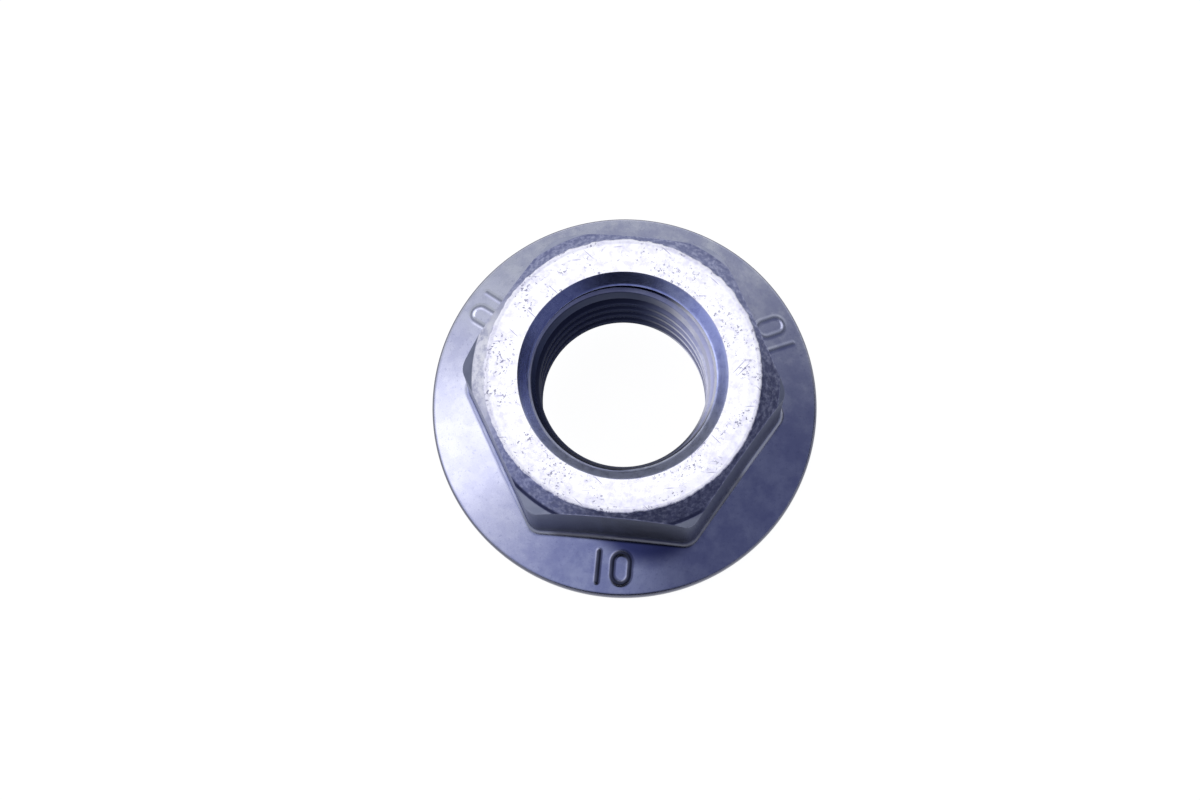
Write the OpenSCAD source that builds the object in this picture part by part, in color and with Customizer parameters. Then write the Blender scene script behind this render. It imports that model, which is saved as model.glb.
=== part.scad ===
/* [Bore] */
// Bore diameter at the thread crests
bore_d = 12.3; // [11.4:0.1:13.2]
// Width of the thread's lead-in where it meets the top countersink
lead_d = 13.7; // [13.2:0.1:13.8]
// Length over which the lead-in narrows to the bore
lead_h = 2.8; // [1.5:0.1:4]
// Width of the countersink in the top face
top_sink_d = 15.3; // [13.8:0.1:16.4]
// Width of the countersink in the bearing face
base_sink_d = 16; // [13.8:0.1:17]
// Slope of both countersinks, measured from the axis
sink_slope = 45; // [35:1:60]

/* [Hexagon] */
// Width across two opposite flats
across_flats = 20.8; // [19.6:0.1:23]
// Height of the whole nut over its bearing face
nut_h = 13.4; // [11.5:0.1:16]
// Rounding of the six upright corners
corner_r = 1.2; // [0.4:0.1:2.4]

/* [Crown] */
// Outer width of the flat ring round the mouth of the bore
ring_d = 20.1; // [18:0.1:20.4]
// Width at the crease where the shallow slope turns steep
crease_d = 22.4; // [21:0.1:23.4]
// Drop of the rough slope next to the ring, from level
shallow_drop = 42; // [25:1:50]
// Drop of the smooth facets on the corners, from level
steep_drop = 66; // [52:1:74]

/* [Flange] */
// Width over the rim of the flange
flange_d = 29.4; // [27.4:0.1:33]
// Thickness of the flange at its rim
rim_t = 1.2; // [0.9:0.1:2]
// Rounding of the rim, over and under
rim_r = 0.4; // [0.2:0.05:0.44]
// Rise of the flange towards the hexagon, from level
flange_rise = 25; // [15:1:30]
// How far the foot of the hexagon stands out on the flange
foot_w = 0.3; // [0.15:0.05:0.6]
// How high the foot of the hexagon stands on the flange
foot_h = 0.3; // [0.15:0.05:0.6]

/* [Hidden] */
$fn = 96;
// Distance by which a cutter runs past the face that it opens
past = 1;

bore_r = bore_d / 2;
lead_r = lead_d / 2;
flat_r = across_flats / 2;
ring_r = ring_d / 2;
crease_r = crease_d / 2;
flange_r = flange_d / 2;

// Height of the crease under the top face, on the shallow cone
crease_z = nut_h - (crease_r - ring_r) * tan(shallow_drop);
// Height at which the steep cone reaches the radius of the rim
crown_edge_z = crease_z - (flange_r - crease_r) * tan(steep_drop);

// Point where the cone of the flange runs into the rounding of the rim
rim_touch_r = flange_r - rim_r + rim_r * sin(flange_rise);
rim_touch_z = rim_t - rim_r + rim_r * cos(flange_rise);
// Height that the cone would reach on the axis
apex_z = rim_touch_z + rim_touch_r * tan(flange_rise);

// Hexagon with rounded corners; its corners point along X
module hexagon(inner_r, round_r) {
    reach = (inner_r - round_r) / cos(30);
    turns = [for (k = [0:5]) 60 * k];
    outline = [for (a = turns, side = [-30, 30])
        [reach * cos(a) + round_r * cos(a + side), reach * sin(a) + round_r * sin(a + side)]];
    polygon(outline);
    for (a = turns)
        rotate(a)
            translate([reach, 0])
                circle(r = round_r);
}

// Round envelope of the crown: flat ring, shallow slope, steep slope
module crown_envelope() {
    rotate_extrude()
        polygon([
            [0, 0],
            [flange_r, 0],
            [flange_r, crown_edge_z],
            [crease_r, crease_z],
            [ring_r, nut_h],
            [0, nut_h]
        ]);
}

// Wrench hexagon whose corners are cut back by both slopes of the crown
module wrench_body() {
    intersection() {
        linear_extrude(height = nut_h)
            hexagon(flat_r, corner_r);
        crown_envelope();
    }
}

// Foot of the hexagon: a narrow ledge that follows the cone of the flange
module foot() {
    intersection() {
        linear_extrude(height = nut_h)
            hexagon(flat_r + foot_w, corner_r + foot_w);
        rotate_extrude()
            polygon([
                [0, 0],
                [rim_touch_r, 0],
                [rim_touch_r, rim_touch_z + foot_h],
                [0, apex_z + foot_h]
            ]);
    }
}

// Conical flange with a rounded rim and a flat bearing face
module flange() {
    rotate_extrude() {
        polygon([
            [0, 0],
            [flange_r - rim_r, 0],
            [flange_r, rim_r],
            [flange_r, rim_t - rim_r],
            [rim_touch_r, rim_touch_z],
            [0, apex_z]
        ]);
        for (z = [rim_r, rim_t - rim_r])
            translate([flange_r - rim_r, z])
                circle(r = rim_r);
    }
}

// Height at which the top countersink ends and the lead-in starts
lead_z = nut_h - (top_sink_d / 2 - lead_r) / tan(sink_slope);

// Lead-in of the thread: a slim cone that narrows downward to the bore
module lead_in() {
    lean = (lead_r - bore_r) / lead_h;
    rotate_extrude()
        polygon([
            [0, -lead_h],
            [bore_r, -lead_h],
            [lead_r + past * lean, past],
            [0, past]
        ]);
}

// Countersink that opens upward from the origin, mouth_d wide there and neck_d wide at its end
module countersink(mouth_d, neck_d) {
    mouth_r = mouth_d / 2;
    neck_r = neck_d / 2;
    deep = (mouth_r - neck_r) / tan(sink_slope);
    extra = past * tan(sink_slope);
    rotate_extrude()
        polygon([
            [0, -deep],
            [neck_r, -deep],
            [mouth_r + extra, past],
            [0, past]
        ]);
}

module nut() {
    color("lightsteelblue")
        difference() {
            union() {
                flange();
                foot();
                wrench_body();
            }
            translate([0, 0, -past])
                cylinder(r = bore_r, h = nut_h + 2 * past);
            translate([0, 0, lead_z])
                lead_in();
            translate([0, 0, nut_h])
                countersink(top_sink_d, lead_d);
            mirror([0, 0, 1])
                countersink(base_sink_d, bore_d);
        }
}

nut();
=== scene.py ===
# %% [markdown]
# This lesson dresses a forged steel nut: a hexagon that grows out of a wide conical flange, with a
# threaded bore through the middle. The exact shape comes from the part's own CAD model, which is
# loaded first. The CAD nut has the true sizes, but sharp edges, a plain bore and no marks, so a
# finer mesh is made here that takes its place, in the same spot and at the same size.

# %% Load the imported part
import math

import bpy
import numpy as np
from mathutils import Matrix, Vector, noise


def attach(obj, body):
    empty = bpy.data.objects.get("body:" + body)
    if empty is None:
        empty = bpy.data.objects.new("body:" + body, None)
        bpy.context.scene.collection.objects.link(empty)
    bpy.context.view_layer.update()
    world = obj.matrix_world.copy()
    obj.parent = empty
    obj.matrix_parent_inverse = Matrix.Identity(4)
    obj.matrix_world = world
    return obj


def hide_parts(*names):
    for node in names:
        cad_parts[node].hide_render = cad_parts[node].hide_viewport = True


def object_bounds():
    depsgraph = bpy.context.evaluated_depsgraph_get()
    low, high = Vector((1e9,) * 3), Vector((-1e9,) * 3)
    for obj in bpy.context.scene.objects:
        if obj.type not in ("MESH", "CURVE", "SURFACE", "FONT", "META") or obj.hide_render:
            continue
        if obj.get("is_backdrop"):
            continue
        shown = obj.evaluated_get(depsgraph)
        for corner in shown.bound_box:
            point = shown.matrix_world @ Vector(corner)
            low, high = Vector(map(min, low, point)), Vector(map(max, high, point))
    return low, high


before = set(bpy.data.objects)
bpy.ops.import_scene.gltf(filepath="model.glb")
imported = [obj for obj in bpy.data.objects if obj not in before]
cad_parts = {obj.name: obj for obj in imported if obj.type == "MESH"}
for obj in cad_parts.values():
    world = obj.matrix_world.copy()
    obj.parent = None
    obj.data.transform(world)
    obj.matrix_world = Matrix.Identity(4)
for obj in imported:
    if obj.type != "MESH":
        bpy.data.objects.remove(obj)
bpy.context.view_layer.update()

MM = 0.001
scene = bpy.context.scene
scene.view_settings.view_transform = "Standard"

# %% [markdown]
# Colours are written as the hex codes of a picture, which are sRGB. A shader works with linear
# light, so one function turns one into the other. Nodes are added by one small function too. It
# sets the node's values, links what comes from other nodes, and gives back one of its outputs.

# %% Colour and node helpers
def linear(hex_code, level=1.0):
    """The linear RGBA of an sRGB colour such as #C9CBDD, times a level."""
    parts = [int(hex_code[i:i + 2], 16) / 255 for i in (1, 3, 5)]
    return [level * (p / 12.92 if p <= 0.04045 else ((p + 0.055) / 1.055) ** 2.4)
            for p in parts] + [1.0]


def node(tree, kind, inputs=None, out=0, **settings):
    """Adds a node; each input is a value or another node's output. Gives the output asked for."""
    made = tree.nodes.new(kind)
    for name, value in settings.items():
        setattr(made, name, value)
    for socket, value in (inputs or {}).items():
        if isinstance(value, bpy.types.NodeSocket):
            tree.links.new(value, made.inputs[socket])
        else:
            made.inputs[socket].default_value = value
    return made.outputs[out] if made.outputs else made


def new_material(name):
    """An empty node material and its tree."""
    material = bpy.data.materials.new(name)
    material.use_nodes = True
    material.node_tree.nodes.clear()
    return material, material.node_tree


print("lilac grey is", [round(v, 3) for v in linear("#C9CBDD")])

# %% [markdown]
# The picture was taken from far away with a long lens, almost straight down, 10 degrees off the
# axis of the nut. The camera is placed by its eye, by the point on the bearing plane that it looks
# at, and by a small roll about its line of sight.

# %% Camera
eye = Vector((5.576, -40.182, 222.329)) * MM
aim = Vector((-1.928, 0.458, 0.0)) * MM
roll = math.radians(-5.181)
look = (aim - eye).normalized()
level = look.cross(Vector((0, 0, 1))).normalized()
right = math.cos(roll) * level + math.sin(roll) * level.cross(look)
top = right.cross(look)

bpy.ops.object.camera_add()
camera = bpy.context.object
camera.matrix_world = Matrix.Translation(eye) @ Matrix((right, top, -look)).transposed().to_4x4()
camera.data.sensor_width = 36.0
camera.data.lens = 88.303
camera.data.clip_start = 0.01
camera.data.clip_end = 20.0
scene.camera = camera
print("camera is", round((eye - aim).length / MM, 1), "mm from what it looks at")

# %% [markdown]
# The nut lies on a white sheet. Rays that end in the camera or come from a mirror-like surface see
# most of the sheet as even white, and the rest as matt paper, so that the soft shadow under the
# rim stays. Light that bounces is that of matt paper only.

# %% Floor
bpy.ops.object.select_all(action="DESELECT")
bpy.ops.mesh.primitive_plane_add(size=4.0)
floor = bpy.context.object
floor.name = "floor"
white_level = 1.12
even_part = 0.86
paper, tree = new_material("matt_white_paper")
matt = node(tree, "ShaderNodeBsdfDiffuse", {"Color": linear("#F2F2F4")})
glow = node(tree, "ShaderNodeEmission", {"Color": linear("#FFFFFF"), "Strength": white_level})
seen = node(tree, "ShaderNodeLightPath", out="Is Camera Ray")
for ray in ("Is Glossy Ray", "Is Transmission Ray"):
    seen = node(tree, "ShaderNodeMath", {0: seen, 1: node(tree, "ShaderNodeLightPath", out=ray)},
                operation="MAXIMUM")
even = node(tree, "ShaderNodeMath", {0: seen, 1: even_part}, operation="MULTIPLY")
mixed = node(tree, "ShaderNodeMixShader", {0: even, 1: matt, 2: glow})
node(tree, "ShaderNodeOutputMaterial", {"Surface": mixed})
floor.data.materials.append(paper)
floor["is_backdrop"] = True
print("floor is", floor.dimensions.x, "m wide")

# %% [markdown]
# Plated steel has no look of its own: it shows what stands round it. The top ring faces straight
# up, so a large soft box hangs there, somewhat behind the nut, because the camera looks from
# somewhat in front. An area lamp gives even light and soft shadows, where a point lamp would give
# one hard spark. Its energy is worked out from the level at which a mirror would show it.

# %% Overhead soft box
def toward(turn, tilt):
    """The direction at a turn about the nut's axis and a tilt from straight up, in degrees."""
    a, t = math.radians(turn), math.radians(tilt)
    return Vector((math.cos(a) * math.sin(t), math.sin(a) * math.sin(t), math.cos(t)))


box_far = 0.6
box_wide = 0.72
box_deep = 0.56
box_level = 1.02
up = toward(97, 23)
bpy.ops.object.light_add(type="AREA", location=up * box_far)
box = bpy.context.object
box.name = "soft_box_overhead"
box.rotation_euler = (-up).to_track_quat("-Z", "Y").to_euler()
box.data.shape = "RECTANGLE"
box.data.size = box_wide
box.data.size_y = box_deep
box.data.energy = box_level * math.pi * box_wide * box_deep
box.visible_camera = False
print("soft box:", round(box.data.energy, 2), "W, seen in a mirror as", box_level)

# %% [markdown]
# The flange leans outwards all the way round, so it shows the room like a clock face: pale at the
# back, a bright window at the left, dark in front. Walls and windows could be built as objects,
# but then they would cast shadows too. So the room is painted into the world, in soft round
# patches. Each has a direction, a turn away from it to which it is even, and one where it ends.

# %% Room
ROOM = "#575C78"
# Name, direction, even up to and ended at in degrees, colour, level
WALLS = [
    ("pale wall behind", toward(130, 136), 73, 150, "#BCBFC4", 1.0),
    ("blue light in front", toward(248, 44), 0, 34, "#959CBC", 1.0),
    ("low light at the left", toward(205, 88), 4, 30, "#BCC3E7", 0.9),
    ("curtain at the left", toward(184, 49), 0, 48, "#E8EAFF", 0.88),
    ("window at the left", toward(184, 50), 4, 24, "#F8F8FF", 1.42),
    ("dark wall in front", toward(275, 84), 8, 38, "#101218", 1.0),
    ("dark corner at the right", toward(10, 92), 6, 30, "#14182A", 1.0),
]
room = bpy.data.worlds.new("room")
scene.world = room
room.use_nodes = True
tree = room.node_tree
tree.nodes.clear()
ray = node(tree, "ShaderNodeTexCoord", out="Generated")
shown = linear(ROOM)
for name, middle, even_to, edge, colour, level in WALLS:
    lean = node(tree, "ShaderNodeVectorMath", {0: ray, 1: middle}, "Value", operation="DOT_PRODUCT")
    share = node(tree, "ShaderNodeMapRange", {"Value": lean,
                 "From Min": math.cos(math.radians(edge)),
                 "From Max": math.cos(math.radians(even_to))}, interpolation_type="SMOOTHSTEP")
    shown = node(tree, "ShaderNodeMix", {0: share, 6: shown, 7: linear(colour, level)}, 2,
                 data_type="RGBA")
    print(name, "is painted into the room")
sky = node(tree, "ShaderNodeBackground", {"Color": shown, "Strength": 1.0})
node(tree, "ShaderNodeOutputWorld", {"Surface": sky})

# %% [markdown]
# The sizes are those of the CAD model. Where that has a narrow ledge at the foot of the hexagon,
# the real nut has a small fillet, and that is what is made here. Round the hexagon the distance
# from the axis to the wall changes with the turn: it is least in the middle of a flat, and the
# corners are rounded. One function gives it.

# %% Sizes of the nut, in millimetres
nut_h = 13.4
bore_r = 6.15
mouth_r = 7.65
lead_r = 6.85
lead_h = 2.8
burr_w = 0.06
base_mouth_r = 8.0
flat_r = 10.4
corner_r = 1.2
ring_r = 10.05
crease_r = 11.2
shallow = math.tan(math.radians(42))
steep = math.tan(math.radians(66))
flange_lean = 25
flange_slope = math.radians(flange_lean)
rise = math.tan(flange_slope)
flange_r = 14.7
rim_t = 1.2
rim_r = 0.4
fillet_r = 0.75
rim_touch_r = flange_r - rim_r + rim_r * math.sin(flange_slope)
rim_touch_z = rim_t - rim_r + rim_r * math.cos(flange_slope)
apex_z = rim_touch_z + rim_touch_r * rise
lead_top = nut_h - mouth_r + lead_r
lead_low = lead_top - lead_h
lead_end = (lead_r - 0.02, lead_top - 0.08)
burr = [(lead_r - burr_w, lead_top - 0.02), (lead_r - burr_w, lead_top + 0.03)]
sink_end = (lead_r + 0.03, lead_top + 0.03)


def hexagon_radius(turn, inner_r, round_r):
    """How far a rounded hexagon reaches from its axis at a turn; its corners point along X."""
    off = abs(turn % (math.pi / 3) - math.pi / 6)
    reach = (inner_r - round_r) / math.cos(math.pi / 6)
    tangent = math.atan2(reach * 0.5, inner_r)
    if off <= tangent:
        return inner_r / math.cos(off)
    lean = math.pi / 6 - off
    return reach * math.cos(lean) + math.sqrt(round_r ** 2 - (reach * math.sin(lean)) ** 2)


print("corner at", round(hexagon_radius(0.0, flat_r, corner_r), 3), "mm, flat at",
      round(hexagon_radius(math.pi / 6, flat_r, corner_r), 3), "mm")

# %% [markdown]
# The top of the hexagon is cut back by two cones. The first is shallow and was left rough by the
# forging die, so its height wanders by some hundredths of a millimetre, and its edge with the flat
# ring is ragged. The second is steep and smooth, and shows only on the corners. Its edge isn't
# quite centred on the bore, because the die and the drill never agree exactly. A bump in the
# material could fake the roughness, but then the ragged edge of the ring would stay a clean circle.

# %% Height of the top
# Height and length of the bumps in mm, and a seed
WANDER = ((0.05, 0.8, 2.3), (0.025, 0.25, 7.7))
RAGGED = ((0.06, 0.5, 4.4), (0.05, 0.2, 9.1))
SMOOTH = ((0.012, 0.9, 5.1),)
ragged_w = 0.22
crease_turn = -32
crease_shift = 0.25


def rough(x, y, wave, seed):
    """Smooth noise from about -1 to 1 whose bumps are wave mm long."""
    return noise.noise(Vector((x / wave, y / wave, seed)))


def top_height(r, turn):
    """Height of the top of the hexagon at a distance from the axis, in mm."""
    x, y = r * math.cos(turn), r * math.sin(turn)
    wander, ragged, smooth = (sum(high * rough(x, y, wave, seed) for high, wave, seed in bumps)
                              for bumps in (WANDER, RAGGED, SMOOTH))
    near_ring = math.exp(-((r - ring_r) / ragged_w) ** 2)
    first = nut_h - (r - ring_r) * shallow + (wander + near_ring * ragged)
    edge_r = crease_r + crease_shift * math.cos(turn - math.radians(crease_turn))
    second = nut_h - (edge_r - ring_r) * shallow - (r - edge_r) * steep
    return min(nut_h, first, second + smooth)


print("top of a corner at", round(top_height(11.83, 0.0), 2), "mm")

# %% [markdown]
# A cut through the nut from the axis outwards is one closed outline: up the bore and the lead-in of
# the thread, over the burr that the countersink's tool left, up the countersink, over the ring,
# down the crown and the wall, through the fillet, down the flange, round the rim and back along the
# bearing face. It is written down in bands, each with its own number of rows in the mesh, so that
# the rough crown gets many and the plain bore few.

# %% Outline at one turn
BANDS = [("bore", 2), ("lead", 4), ("burr", 5), ("mouth", 6), ("ring", 9), ("crown", 34),
         ("wall", 16), ("fillet", 10), ("flange", 20), ("rim", 12), ("bearing", 6),
         ("base_mouth", 4)]
ring_end = 9.55


def outline(turn):
    """The bands of the cut at a turn: name, then its points as (r, z) in mm."""
    wall_r = hexagon_radius(turn, flat_r, corner_r)
    crown = [(r, top_height(r, turn)) for r in np.linspace(ring_end, wall_r, 90)]
    fillet_end = wall_r + fillet_r * (1 - math.sin(flange_slope))
    fillet_z = apex_z - fillet_end * rise + fillet_r * math.cos(flange_slope)
    fillet = [(wall_r + fillet_r * (1 - math.sin(a)), fillet_z - fillet_r * math.cos(a))
              for a in np.radians(np.linspace(90, flange_lean, 14))]
    rim_mid = flange_r - rim_r
    arc = [math.radians(a) for a in range(90 - flange_lean, -1, -5)]
    over = [(rim_mid + rim_r * math.cos(a), rim_t - rim_r + rim_r * math.sin(a)) for a in arc]
    arc = [math.radians(-a) for a in range(0, 91, 6)]
    under = [(rim_mid + rim_r * math.cos(a), rim_r + rim_r * math.sin(a)) for a in arc]
    return {
        "bore": [(bore_r, base_mouth_r - bore_r), (bore_r, lead_low)],
        "lead": [(bore_r, lead_low), lead_end],
        "burr": [lead_end, *burr, sink_end],
        "mouth": [sink_end, (mouth_r, nut_h)],
        "ring": [(mouth_r, nut_h), (ring_end, nut_h)],
        "crown": crown,
        "wall": [crown[-1], fillet[0]],
        "fillet": fillet,
        "flange": [fillet[-1], (rim_touch_r, rim_touch_z)],
        "rim": over + under,
        "bearing": [(rim_mid, 0.0), (base_mouth_r, 0.0)],
        "base_mouth": [(base_mouth_r, 0.0), (bore_r, base_mouth_r - bore_r)],
    }


print("bands of the outline:", ", ".join(outline(0.0)))

# %% [markdown]
# No edge of a forged and plated nut is sharp. A Bevel modifier rounds edges too, but here some fade
# away along their length, as the crown does into the wall, and a bevel breaks up there. Instead the
# outline is sampled finely and softened with a narrow running mean, which rounds every edge alike,
# and then read off at the rows of the mesh. Rows crowd together at both ends of a broad band.

# %% Soften the outline
FINE = 0.02
EVEN_PART, CROWDED_PART = 0.45, 0.55
MEAN_REACH, MEAN_WIDTH = 4, 2.4


def softened_rows(turn):
    """The rows of the mesh at a turn, as an array of (r, z) in mm."""
    bands = outline(turn)
    points, marks = [], []
    for name, count in BANDS:
        line = np.array(bands[name])
        run = np.concatenate([[0], np.cumsum(np.hypot(*np.diff(line, axis=0).T))])
        start = len(points)
        dense = np.linspace(0, run[-1], max(3, int(run[-1] / FINE)))
        points += list(zip(np.interp(dense, run, line[:, 0]), np.interp(dense, run, line[:, 1])))
        share = np.arange(count) / count
        if name in ("wall", "flange", "bearing", "mouth", "ring"):
            share = EVEN_PART * share + CROWDED_PART * 0.5 * (1 - np.cos(np.pi * share))
        marks += list(start + share * (len(dense) - 1))
    points = np.array(points)
    around = np.arange(-MEAN_REACH, MEAN_REACH + 1)
    index = (np.arange(len(points))[:, None] + around) % len(points)
    weight = np.exp(-0.5 * (around / MEAN_WIDTH) ** 2)
    soft = (points[index] * (weight / weight.sum())[None, :, None]).sum(1)
    soft[:, 1] = np.clip(soft[:, 1], 0.0, nut_h)
    at = np.arange(len(points))
    return np.stack([np.interp(marks, at, soft[:, 0]), np.interp(marks, at, soft[:, 1])], 1)


blank_rows = softened_rows(0.0)
print("rows of the mesh:", len(blank_rows))

# %% [markdown]
# The blank is turned on the lathe: the outline through a corner is drawn by extruding one point
# after another, closed, and spun once round the axis. Cylinders and cones could be stacked up too,
# but they would have to be joined, and one spun outline is a closed body from the start. At this
# stage the nut is round all over.

# %% Turn the blank
STEPS = 540


def select_none():
    """Leaves edit mode and deselects everything."""
    if bpy.context.object and bpy.context.object.mode != "OBJECT":
        bpy.ops.object.mode_set(mode="OBJECT")
    bpy.ops.object.select_all(action="DESELECT")


def draw_outline(name, points):
    """A line of edges in the XZ plane through points given as (r, z) in mm, in edit mode."""
    select_none()
    bpy.ops.mesh.primitive_plane_add(size=1 * MM, location=(0, 0, 0))
    piece = bpy.context.object
    piece.name = name
    piece.data.name = name
    bpy.ops.object.mode_set(mode="EDIT")
    bpy.ops.mesh.merge(type="CENTER")
    bpy.ops.transform.translate(value=(points[0][0] * MM, 0, points[0][1] * MM))
    for (r0, z0), (r1, z1) in zip(points, points[1:]):
        step = ((r1 - r0) * MM, 0, (z1 - z0) * MM)
        bpy.ops.mesh.extrude_region_move(TRANSFORM_OT_translate={"value": step})
    bpy.ops.mesh.select_all(action="SELECT")
    bpy.ops.mesh.remove_doubles(threshold=0.002 * MM)
    return piece


nut = draw_outline("forged_flange_nut", [tuple(p) for p in (*blank_rows, blank_rows[0])])
bpy.ops.mesh.spin(steps=STEPS, angle=2 * math.pi, center=(0, 0, 0), axis=(0, 0, 1))
bpy.ops.mesh.select_all(action="SELECT")
bpy.ops.mesh.remove_doubles(threshold=0.004 * MM)
bpy.ops.mesh.normals_make_consistent(inside=False)
bpy.ops.object.mode_set(mode="OBJECT")
print("blank:", len(nut.data.vertices), "vertices,", len(nut.data.polygons), "faces")

# %% [markdown]
# A die now presses the blank: each vertex knows its row by its place on the turned outline, and
# moves to the same row of the outline at its own turn. Presses do this to hot steel too, and the
# mesh keeps its even grid, which a cut with six planes would not.

# %% Press the hexagon
def read_vertices(piece):
    """Vertex places of a piece as an array in mm."""
    places = np.zeros(len(piece.data.vertices) * 3)
    piece.data.vertices.foreach_get("co", places)
    return places.reshape(-1, 3) / MM


def write_vertices(piece, places):
    """Puts the vertices of a piece at places in mm."""
    piece.data.vertices.foreach_set("co", (places * MM).ravel())
    piece.data.update()


places = read_vertices(nut)
radius = np.hypot(places[:, 0], places[:, 1])
gap = np.hypot(radius[:, None] - blank_rows[None, :, 0], places[:, 2:3] - blank_rows[None, :, 1])
row = gap.argmin(1)
step = np.round(np.arctan2(places[:, 1], places[:, 0]) / (2 * math.pi) * STEPS).astype(int) % STEPS
rows_at = np.array([softened_rows(2 * math.pi * k / STEPS) for k in range(STEPS)])
turn = 2 * math.pi * step / STEPS
target = rows_at[step, row]
write_vertices(nut, np.stack([target[:, 0] * np.cos(turn), target[:, 0] * np.sin(turn),
                              target[:, 1]], 1))
print("pressed; furthest move", round(float(np.abs(target[:, 0] - radius).max()), 2), "mm")

# %% [markdown]
# The flange carries the plain number 10 three times, one in front of every second flat. The die
# left its strokes as soft ridges, a little higher in front. The grid of the mesh is too coarse for
# them, so the faces under the numbers are picked by their place and subdivided.

# %% Refine the mesh under the numbers
# Turn in degrees and height of the strokes in mm
NUMBERS = ((-89.5, 0.085), (29.6, 0.05), (149.6, 0.05))
number_half = 8.5
number_inner, number_outer = 11.0, 14.2
on_cone = 0.15

bpy.ops.object.mode_set(mode="EDIT")
bpy.ops.mesh.select_all(action="DESELECT")
bpy.ops.object.mode_set(mode="OBJECT")
for face in nut.data.polygons:
    centre = face.center / MM
    r = math.hypot(centre.x, centre.y)
    around = math.degrees(math.atan2(centre.y, centre.x))
    near = any(abs((around - middle + 180) % 360 - 180) < number_half for middle, high in NUMBERS)
    on_flange = -0.02 < centre.z - (apex_z - r * rise) < on_cone
    face.select = near and on_flange and number_inner < r < number_outer
print("faces under the numbers:", sum(face.select for face in nut.data.polygons))
bpy.ops.object.mode_set(mode="EDIT")
bpy.ops.mesh.subdivide(number_cuts=2)
bpy.ops.object.mode_set(mode="OBJECT")

# %% [markdown]
# Text objects have sharp strokes and crisp corners, and a pressed numeral has neither. So the 1 is
# a short line and the 0 a racetrack, laid flat on the flange, and each vertex rises out of the
# flange with its nearness to the middle of a stroke.

# %% Raise the numbers
figure_mid = 12.6
one_side = -0.95
one_ends = ((0.03, -1.08), (-0.03, 1.08))
zero_side = 0.78
zero_half = (0.66, 1.1)
stroke_half = 0.31


def to_segment(u, v, a, b):
    """Distance of points (u, v) to the segment from a to b."""
    along = np.array(b) - np.array(a)
    share = ((u - a[0]) * along[0] + (v - a[1]) * along[1]) / (along @ along)
    share = np.clip(share, 0, 1)
    return np.hypot(u - a[0] - share * along[0], v - a[1] - share * along[1])


def to_oval(u, v, half_wide, half_high):
    """Distance of points (u, v) to a racetrack round the origin."""
    straight = half_high - half_wide
    ends = np.hypot(u, np.maximum(np.abs(v) - straight, 0))
    return np.abs(ends - half_wide)


places = read_vertices(nut)
radius = np.hypot(places[:, 0], places[:, 1])
turn = np.degrees(np.arctan2(places[:, 1], places[:, 0]))
above = places[:, 2] - (apex_z - radius * rise)
on_flange = (above > -0.03) & (above < on_cone) & (radius > number_inner - 0.1)
height = np.zeros(len(places))
for middle, high in NUMBERS:
    across = np.radians((turn - middle + 180) % 360 - 180)
    u = np.sin(across) * radius
    v = np.cos(across) * radius - figure_mid
    one = to_segment(u - one_side, v, *one_ends)
    zero = to_oval(u - zero_side, v, *zero_half)
    ridge = np.clip(1 - np.minimum(one, zero) / stroke_half, 0, 1)
    height += high * ridge * ridge * (3 - 2 * ridge)
height[~on_flange] = 0
outward = np.stack([places[:, 0] / radius * math.sin(flange_slope),
                    places[:, 1] / radius * math.sin(flange_slope),
                    np.full(len(places), math.cos(flange_slope))], 1)
write_vertices(nut, places + outward * height[:, None])
print("vertices raised:", int((height > 0.01).sum()))

# %% [markdown]
# The thread is cut as in the workshop, with a tap. One tooth of the tap is drawn as a zigzag, the
# Screw modifier winds it up the axis, and planes trim the ends and fill them, because a Boolean
# needs a closed cutter. The ends lie outside the nut, where nothing is cut. The tip of the tooth is
# blunt, as on a worn tap.

# %% Wind the tap
PITCH = 2.0
root_r = 7.05
core_r = 5.6
first_groove = -6.68
half_root = 0.18
flank = math.radians(30)
half_core = half_root + (root_r - core_r) * math.tan(flank)
blunt_r, blunt_out, blunt_in = 0.06, 0.04, 0.05
tap_low, tap_high = -1.1, 14.7
tooth = [(core_r, -PITCH / 2), (core_r, -half_core), (root_r - blunt_r, -half_root - blunt_out),
         (root_r, -half_root + blunt_in), (root_r, half_root - blunt_in),
         (root_r - blunt_r, half_root + blunt_out), (core_r, half_core), (core_r, PITCH / 2)]
tap = draw_outline("tap", [(r, z + first_groove) for r, z in tooth])
bpy.ops.object.mode_set(mode="OBJECT")
winding = tap.modifiers.new("winding", "SCREW")
winding.axis = "Z"
winding.angle = 2 * math.pi
winding.screw_offset = PITCH * MM
winding.iterations = 12
winding.steps = 180
winding.render_steps = 180
winding.use_merge_vertices = True
winding.merge_threshold = 0.001 * MM
bpy.ops.object.modifier_apply(modifier="winding")
bpy.ops.object.mode_set(mode="EDIT")
bpy.ops.mesh.select_all(action="SELECT")
bpy.ops.mesh.remove_doubles(threshold=0.002 * MM)
bpy.ops.mesh.bisect(plane_co=(0, 0, tap_low * MM), plane_no=(0, 0, 1), use_fill=True,
                    clear_inner=True, threshold=1e-7)
bpy.ops.mesh.select_all(action="SELECT")
bpy.ops.mesh.bisect(plane_co=(0, 0, tap_high * MM), plane_no=(0, 0, 1), use_fill=True,
                    clear_outer=True, threshold=1e-7)
bpy.ops.mesh.select_all(action="SELECT")
bpy.ops.mesh.normals_make_consistent(inside=False)
bpy.ops.object.mode_set(mode="OBJECT")
print("tap:", len(tap.data.polygons), "faces")

# %% [markdown]
# A Boolean takes the tap out of the nut. The exact solver is slower than the others, but leaves no
# cracks where thin slivers meet. The crests left between the grooves are the wall of the drilled
# bore. At the top they get lower and fade out in the lead-in, which a thread added to the bore
# would not do.

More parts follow.
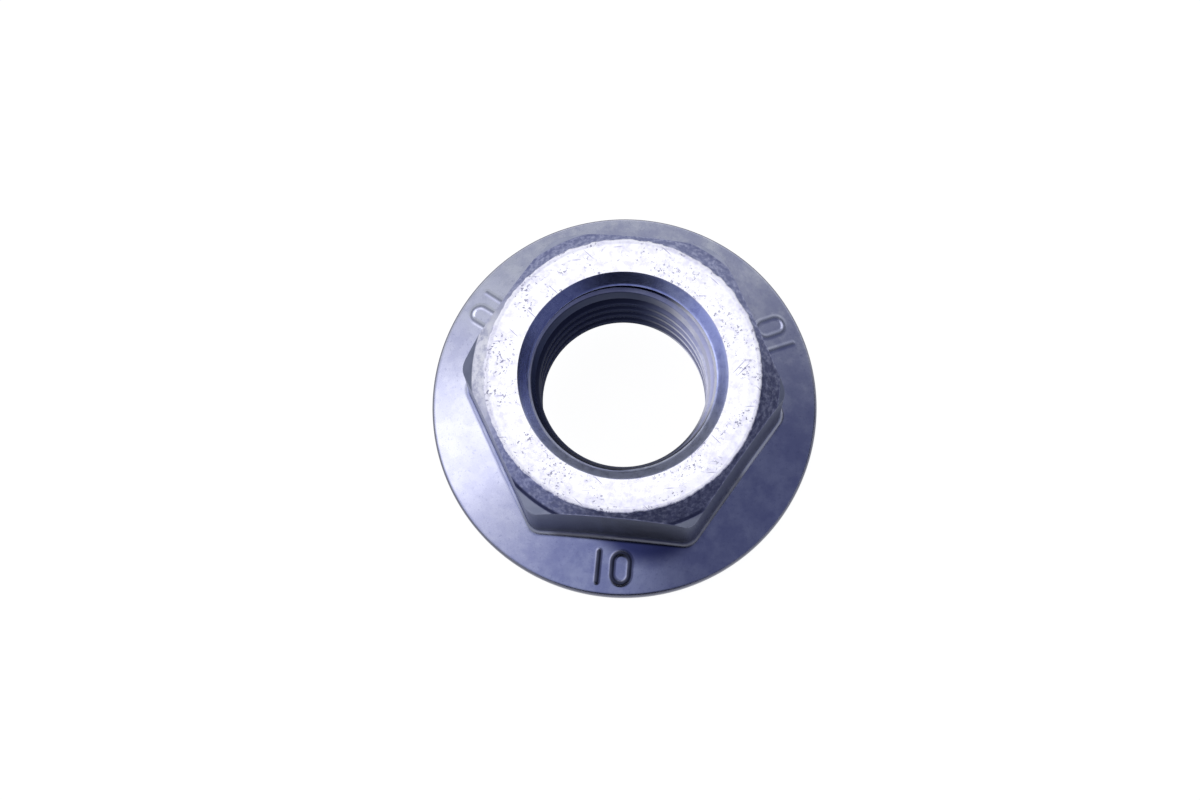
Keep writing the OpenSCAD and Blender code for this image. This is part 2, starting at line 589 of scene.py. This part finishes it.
# %% Cut the thread
select_none()
bpy.context.view_layer.objects.active = nut
nut.select_set(True)
cut = nut.modifiers.new("thread", "BOOLEAN")
cut.operation = "DIFFERENCE"
cut.solver = "EXACT"
cut.object = tap
bpy.ops.object.modifier_apply(modifier="thread")
bpy.data.objects.remove(tap)
smooth_up_to = math.radians(32)
bpy.ops.object.shade_smooth_by_angle(angle=smooth_up_to)
triangles = sum(len(face.vertices) - 2 for face in nut.data.polygons)
print("nut:", len(nut.data.vertices), "vertices,", triangles, "triangles")

# %% [markdown]
# The steel is plated with zinc and passivated, which gives a bright grey with a lilac and blue
# cast. It is a metal, so it is fully metallic, and its colour is the tint of what it reflects. The
# look differs from place to place. Faces could get materials of their own, but then each zone would
# have a hard edge. So three kinds of measure are taken here from the place itself: its height, its
# distance from an upright line, and its height over one of the cones of the CAD model.

# %% Measures of a place on the nut
zinc, tree = new_material("blue_passivated_zinc")
place = node(tree, "ShaderNodeTexCoord", out="Object")
in_mm = node(tree, "ShaderNodeVectorMath", {0: place, "Scale": 1 / MM}, operation="SCALE")
height = node(tree, "ShaderNodeSeparateXYZ", {0: in_mm}, "Z")
# Where each upright line stands: its turn in degrees and its distance from the axis in mm
UPRIGHTS = {"axis": (0, 0), "crease": (crease_turn, crease_shift), "worn": (180, 10.4),
            "front": (-95, 11.5), "lit_bore_wall": (18, 6.6), "shade": (-42, 9.0),
            "dark_corner": (0, 11.8), "left_corner": (180, 11.8), "front_corner": (-60, 11.8),
            "back": (90, 12.0), "near_side": (-76, 7.3), "left_foot": (-162, 12.3),
            "front_foot": (-72, 8.0)}
away = {}
for name, (turn, reach) in UPRIGHTS.items():
    to_line = -toward(turn, 90) * reach
    flat = node(tree, "ShaderNodeVectorMath",
                {0: in_mm, 1: (1, 1, 0), 2: (to_line.x, to_line.y, 0)}, operation="MULTIPLY_ADD")
    away[name] = node(tree, "ShaderNodeVectorMath", {0: flat}, "Value", operation="LENGTH")
CONES = {"flange": ("axis", rise), "crown": ("axis", shallow), "corner": ("crease", steep),
         "lead": ("axis", -lead_h / (lead_r - bore_r))}
cone = {name: node(tree, "ShaderNodeMath", {0: away[line], 1: lean, 2: height},
                   operation="MULTIPLY_ADD") for name, (line, lean) in CONES.items()}
crown_at = nut_h + ring_r * shallow
corner_at = nut_h - (crease_r - ring_r) * shallow + crease_r * steep
lead_at = lead_low - bore_r * lead_h / (lead_r - bore_r)
print("measured from", len(away), "upright lines and", len(cone), "cones")

# %% [markdown]
# A mask turns a measure into a share from 0 to 1 with a soft edge. Forging, drilling, handling and
# the bath left some zones of this nut: a forged crust on the walls, a rough crown, a countersink
# that is blue behind and grey in front. Other zones are painted light and shade: walls darker than
# their crust alone, dark lands and bore, corners lighter or darker by the side they face, a painted
# shadow under the countersink and in front of the foot, and painted light on the left.

# %% Masks
# What is measured, and where the mask starts and is full, in mm
MASKS = {"above_flange": (cone["flange"], apex_z + 0.02, apex_z + 0.07),
         "outside": (away["axis"], 9.0, 9.2),
         "top": (height, nut_h - 0.05, nut_h - 0.012),
         "crown": (cone["crown"], crown_at - 0.32, crown_at - 0.16),
         "in_crease": (away["crease"], 11.24, 11.14),
         "past_crease": (away["crease"], 10.88, 11.04),
         "front": (away["front"], 9.5, 7.5),
         "corner": (cone["corner"], corner_at - 0.5, corner_at - 0.2),
         "crest": (away["axis"], 6.26, 6.20),
         "lead": (cone["lead"], lead_at - 0.30, lead_at - 0.10),
         "inside": (away["axis"], 7.25, 7.15),
         "threaded": (height, 1.2, 1.9),
         "under_mouth": (height, 12.62, 12.54),
         # Painted shadow: a dark band on the lands just under the countersink, where its edge would
         # shade them.
         "neck": (height, 11.95, 12.15),
         # Painted shade: the bore grows darker downwards, where less light gets in.
         "deep": (height, 11.9, 9.9),
         "mouth": (height, 12.52, 12.62),
         "under_top": (height, nut_h - 0.02, nut_h - 0.08),
         "in_mouth": (away["axis"], 7.75, 7.70),
         # Painted shade in the bore is left off near the right wall, which mirrors the window and
         # stays light.
         "dull": (away["lit_bore_wall"], 2.6, 7.6),
         "shade": (away["shade"], 11.5, 7.5),
         "dark_corner": (away["dark_corner"], 5.0, 2.0),
         "left_corner": (away["left_corner"], 5.0, 2.0),
         "front_corner": (away["front_corner"], 5.0, 2.0),
         "back": (away["back"], 11.0, 8.0),
         "low": (cone["flange"], apex_z + 0.42, apex_z + 0.25),
         "left_side": (away["left_foot"], 8.0, 5.0),
         "in_front": (away["front_foot"], 8.0, 7.0),
         "shadow": (away["front_foot"], 5.2, 3.6),
         "near_side": (away["near_side"], 9.5, 5.5),
         "right_side": (away["worn"], 7.0, 15.0),
         # Painted shade: the rim is darker, as if it mirrored the shaded floor beside the nut.
         "rim": (away["axis"], 14.53, 14.60),
         # Painted light: full near an upright line at the left, where the crown mirrors the window.
         "worn": (away["worn"], 7.0, 1.0)}
zone = {name: node(tree, "ShaderNodeMapRange",
                   {"Value": value, "From Min": low, "From Max": high},
                   interpolation_type="SMOOTHSTEP") for name, (value, low, high) in MASKS.items()}
print("masks:", ", ".join(zone))

# %% [markdown]
# Most zones are where several masks meet. The wall is above the flange and outside the ring, and
# its foot is the wall where it is low. Two masks multiplied give what they share, and only the
# lands of the thread need the other way, the larger of two.

# %% Zones of the plating
zone["land"] = node(tree, "ShaderNodeMath", {0: zone["crest"], 1: zone["lead"]},
                    operation="MAXIMUM")
SHARED = (("wall", "above_flange outside"), ("facet", "corner wall"),
          ("dark_facet", "dark_corner facet"), ("left_facet", "left_corner facet"),
          ("front_facet", "front_corner facet"), ("back_facet", "back facet"),
          ("slope", "crown in_crease outside"), ("lit_left_slope", "worn slope"),
          ("shade", "shade slope"), ("crease_shade", "in_crease past_crease front crown"),
          ("land", "land threaded dull"), ("thread", "under_mouth inside threaded"),
          ("bore", "deep thread dull"), ("neck", "neck under_mouth land"),
          ("sink", "mouth in_mouth under_top"), ("steel", "sink near_side"),
          ("foot", "wall low"), ("trough", "foot left_side"), ("foot", "foot in_front"),
          ("shadow", "shadow outside"))
for name, masks in SHARED:
    first, *others = masks.split()
    shared = zone[first]
    for other in others:
        shared = node(tree, "ShaderNodeMath", {0: shared, 1: zone[other]}, operation="MULTIPLY")
    zone[name] = shared
print("zones:", ", ".join(zone))

# %% [markdown]
# The plating is cloudy on the flange, with darker blotches on the right side of the nut, uneven on
# the forged sides, grainy on the crown, and nearly white on the ring, where pits show in clusters.
# Each pattern is a noise of so many bumps to the millimetre, cut to a mask by two levels. The grain
# of the crown is about a third of a millimetre, as the crust of a forging is, and the pits are a
# fifth.

# %% Patterns of the plating
# Bumps to the millimetre, octaves, and the weight of each next octave
NOISES = {"patches": (0.30, 5, 0.60), "clouds": (0.9, 4, 0.55), "specks": (5.0, 2, 0.5),
          "grain": (3.2, 5, 0.65), "pits": (4.6, 4, 0.65), "clusters": (0.55, 3, 0.6),
          "mottle": (1.6, 4, 0.7), "blotches": (0.42, 6, 0.65)}
noise_of = {name: node(tree, "ShaderNodeTexNoise", {"Vector": in_mm, "Scale": scale,
                       "Detail": detail, "Roughness": rough_share}, "Fac")
            for name, (scale, detail, rough_share) in NOISES.items()}
# The noise, the levels where the pattern starts and is full, and the most that it reaches
PATTERNS = {"pale": ("patches", 0.35, 0.65, 1.0), "cloudy": ("clouds", 0.56, 0.40, 0.16),
            "right_blotches": ("blotches", 0.60, 0.40, 0.48),
            "specked": ("specks", 0.60, 0.72, 0.22), "uneven": ("clouds", 0.35, 0.65, 1.0),
            "grainy": ("grain", 0.66, 0.42, 0.8), "pitted": ("pits", 0.58, 0.64, 0.9),
            "clustered": ("clusters", 0.42, 0.62, 1.0), "mottled": ("mottle", 0.42, 0.68, 0.8)}
pattern = {name: node(tree, "ShaderNodeMapRange", {"Value": noise_of[source], "From Min": low,
                      "From Max": high, "To Max": most}, interpolation_type="SMOOTHSTEP")
           for name, (source, low, high, most) in PATTERNS.items()}
for name, where in (("pitted", pattern["clustered"]), ("right_blotches", zone["right_side"])):
    pattern[name] = node(tree, "ShaderNodeMath", {0: pattern[name], 1: where}, operation="MULTIPLY")
print("patterns:", ", ".join(pattern))

# %% [markdown]
# Nuts lie loose in a box, so their rings carry fine scratches. Drawing each one by hand would take
# long. A Voronoi pattern has cells of one size: stretched, each cell is long and thin, a line along
# its middle is a scratch, and a few cells are chosen by their random colour.

# %% Scratches
# Turn in degrees, length and width of a cell in mm, and a shift of the pattern in mm
SCRATCHES = ((52, 6.0, 0.26, 0.3), (-38, 4.0, 0.22, 0.7), (8, 3.0, 0.24, 0.1))
chosen_from, chosen_to = 0.93, 0.96
edge_of_line, core_of_line = 0.15, 0.07
scratched = 0.0
for turned, long, wide, shift in SCRATCHES:
    stretched = node(tree, "ShaderNodeMapping", {"Vector": in_mm, "Location": (shift, shift, 0),
                     "Rotation": (0, 0, math.radians(turned)), "Scale": (long, wide, 1.0)},
                     vector_type="TEXTURE")
    near = node(tree, "ShaderNodeTexVoronoi", {"Vector": stretched, "Scale": 1.0}, "Distance",
                voronoi_dimensions="2D")
    drawn = node(tree, "ShaderNodeTexVoronoi", {"Vector": stretched, "Scale": 1.0}, "Color",
                 voronoi_dimensions="2D")
    lot = node(tree, "ShaderNodeSeparateXYZ", {0: drawn}, "X")
    chosen = node(tree, "ShaderNodeMapRange", {"Value": lot, "From Min": chosen_from,
                  "From Max": chosen_to})
    stroke = node(tree, "ShaderNodeMapRange", {"Value": near, "From Min": edge_of_line,
                  "From Max": core_of_line, "To Max": chosen}, interpolation_type="SMOOTHSTEP")
    scratched = node(tree, "ShaderNodeMath", {0: stroke, 1: scratched}, operation="MAXIMUM")
print("scratches run in", len(SCRATCHES), "directions")

# %% [markdown]
# The colours go on one over the other, each where its mask or pattern says. A layer is one colour.
# A finish is two colours that a pattern mixes, so that no zone is flat. Several of them are painted
# light and shade, as said at each. Last comes the tint at grazing angles: clean metal turns white
# there, but the crust on a forged wall stays grey, and the lands and the neck band get a dark tint,
# which is painted shade.

# %% Colour of the plating
shown = linear("#D9DBEF")
LAYERS = [(pattern["pale"], "#E4E6F4"), (pattern["cloudy"], "#9A9EC4"),
          (pattern["right_blotches"], "#A2A6CE"), (zone["shadow"], "#5E638E"),
          # Partly painted shade: the walls are a grey forged crust, made darker still as if they
          # mirrored a dim floor.
          (pattern["specked"], "#7F84AC"), (zone["rim"], "#6E7080"), (zone["wall"], "#868A9B"),
          # Painted shade: the deep bore and the lands are dark, and the neck band under the
          # countersink is a painted shadow.
          (zone["bore"], "#42465A"), (zone["land"], "#646878"), (zone["neck"], "#2E3248")]
for share, colour in LAYERS:
    shown = node(tree, "ShaderNodeMix", {0: share, 6: shown, 7: linear(colour)}, 2,
                 data_type="RGBA")
# Partly painted shade: the facets are a dull forged crust, made darker still as if they mirrored a
# dim floor.
FINISHES = {"facet": ("#868CA3", "#9499AF", "uneven"),
            # Painted light and shade: the facets at each corner are lighter or darker by the side
            # they face, darkest at the right and lightest at the back.
            "dark_facet": ("#565B70", "#62677C", "uneven"),
            "left_facet": ("#70758A", "#7C8196", "uneven"),
            "front_facet": ("#6E7286", "#7A7F92", "uneven"),
            "back_facet": ("#A0A5BA", "#AEB2C6", "uneven"),
            "sink": ("#C2CAF2", "#A2AADC", "mottled"), "steel": ("#BEC2D2", "#9CA0B0", "mottled"),
            # Painted shade at the foot of the front wall, which mirrors the dark flange in front;
            # painted light at the foot on the left, which mirrors the bright flange.
            "foot": ("#5A5C68", "#646674", "uneven"), "trough": ("#C4C8E4", "#B0B5DA", "uneven"),
            "slope": ("#B2B6D2", "#787DA4", "grainy"), "shade": ("#8A8EAA", "#54587A", "grainy"),
            # Painted light: the crown slope turns near white on the left, where it mirrors the
            # window.
            "lit_left_slope": ("#F2F2F8", "#B9BBD0", "mottled"),
            # Painted shade: a dark line along the crease of the crown, on the front only.
            "crease_shade": ("#3C4060", "#4C5070", "uneven"),
            "top": ("#F6F5FA", "#DCDAEC", "mottled")}
for name, (plain, other, how) in FINISHES.items():
    finish = node(tree, "ShaderNodeMix", {0: pattern[how], 6: linear(plain), 7: linear(other)}, 2,
                  data_type="RGBA")
    shown = node(tree, "ShaderNodeMix", {0: zone[name], 6: shown, 7: finish}, 2, data_type="RGBA")
for share, colour in ((pattern["pitted"], "#8A88A2"), (scratched, "#A3A1BA")):
    on_top = node(tree, "ShaderNodeMath", {0: share, 1: zone["top"]}, operation="MULTIPLY")
    shown = node(tree, "ShaderNodeMix", {0: on_top, 6: shown, 7: linear(colour)}, 2,
                 data_type="RGBA")
edge = linear("#FFFFFF")
for share, colour in ((zone["wall"], "#C0C3CC"), (zone["facet"], "#C8CBD6"),
                      # Painted shade: the lands and the neck band keep a dark tint at grazing
                      # angles too.
                      (zone["land"], "#525563"), (zone["neck"], "#22253A")):
    edge = node(tree, "ShaderNodeMix", {0: share, 6: edge, 7: linear(colour)}, 2, data_type="RGBA")
print("the plating has", len(LAYERS), "layers and", len(FINISHES), "finishes")

# %% [markdown]
# A plated face mirrors the room softly and a forged one scatters it, so the roughness follows the
# same zones. Relief could be in the mesh, but this is finer than its grid. So a bump node turns
# small heights, in millimetres, into leaning light: grain on the crown, pits in the ring, slow
# waves on the flange.

# %% Gloss and grain
gloss = 0.16
for share, more in ((noise_of["clouds"], 0.08), (zone["wall"], 0.10), (zone["facet"], 0.20),
                    (zone["slope"], 0.18), (zone["rim"], 0.15), (zone["thread"], 0.20),
                    (zone["sink"], 0.05), (zone["steel"], 0.15)):
    gloss = node(tree, "ShaderNodeMath", {0: share, 1: more, 2: gloss}, operation="MULTIPLY_ADD")
rough_crown = node(tree, "ShaderNodeMath", {0: noise_of["grain"], 1: zone["slope"]},
                   operation="MULTIPLY")
pits_on_top = node(tree, "ShaderNodeMath", {0: pattern["pitted"], 1: zone["top"]},
                   operation="MULTIPLY")
lift = 0.0
for share, mm_high in ((noise_of["grain"], 0.002), (rough_crown, 0.012), (pits_on_top, -0.008),
                       (noise_of["clouds"], 0.002)):
    lift = node(tree, "ShaderNodeMath", {0: share, 1: mm_high, 2: lift}, operation="MULTIPLY_ADD")
bump = node(tree, "ShaderNodeBump", {"Strength": 1.0, "Distance": MM, "Height": lift})
metal = node(tree, "ShaderNodeBsdfPrincipled", {"Metallic": 1.0, "Base Color": shown,
             "Roughness": gloss, "Specular Tint": edge, "Normal": bump})
node(tree, "ShaderNodeOutputMaterial", {"Surface": metal})
nut.data.materials.clear()
nut.data.materials.append(zinc)
print("material:", zinc.name, "with", len(tree.nodes), "nodes")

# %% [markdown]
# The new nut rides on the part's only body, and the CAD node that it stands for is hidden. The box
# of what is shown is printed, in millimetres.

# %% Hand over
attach(nut, "root")
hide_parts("nut")
low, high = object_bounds()
print("visual box in mm:", [round(v / MM, 2) for v in (*low, *high)])
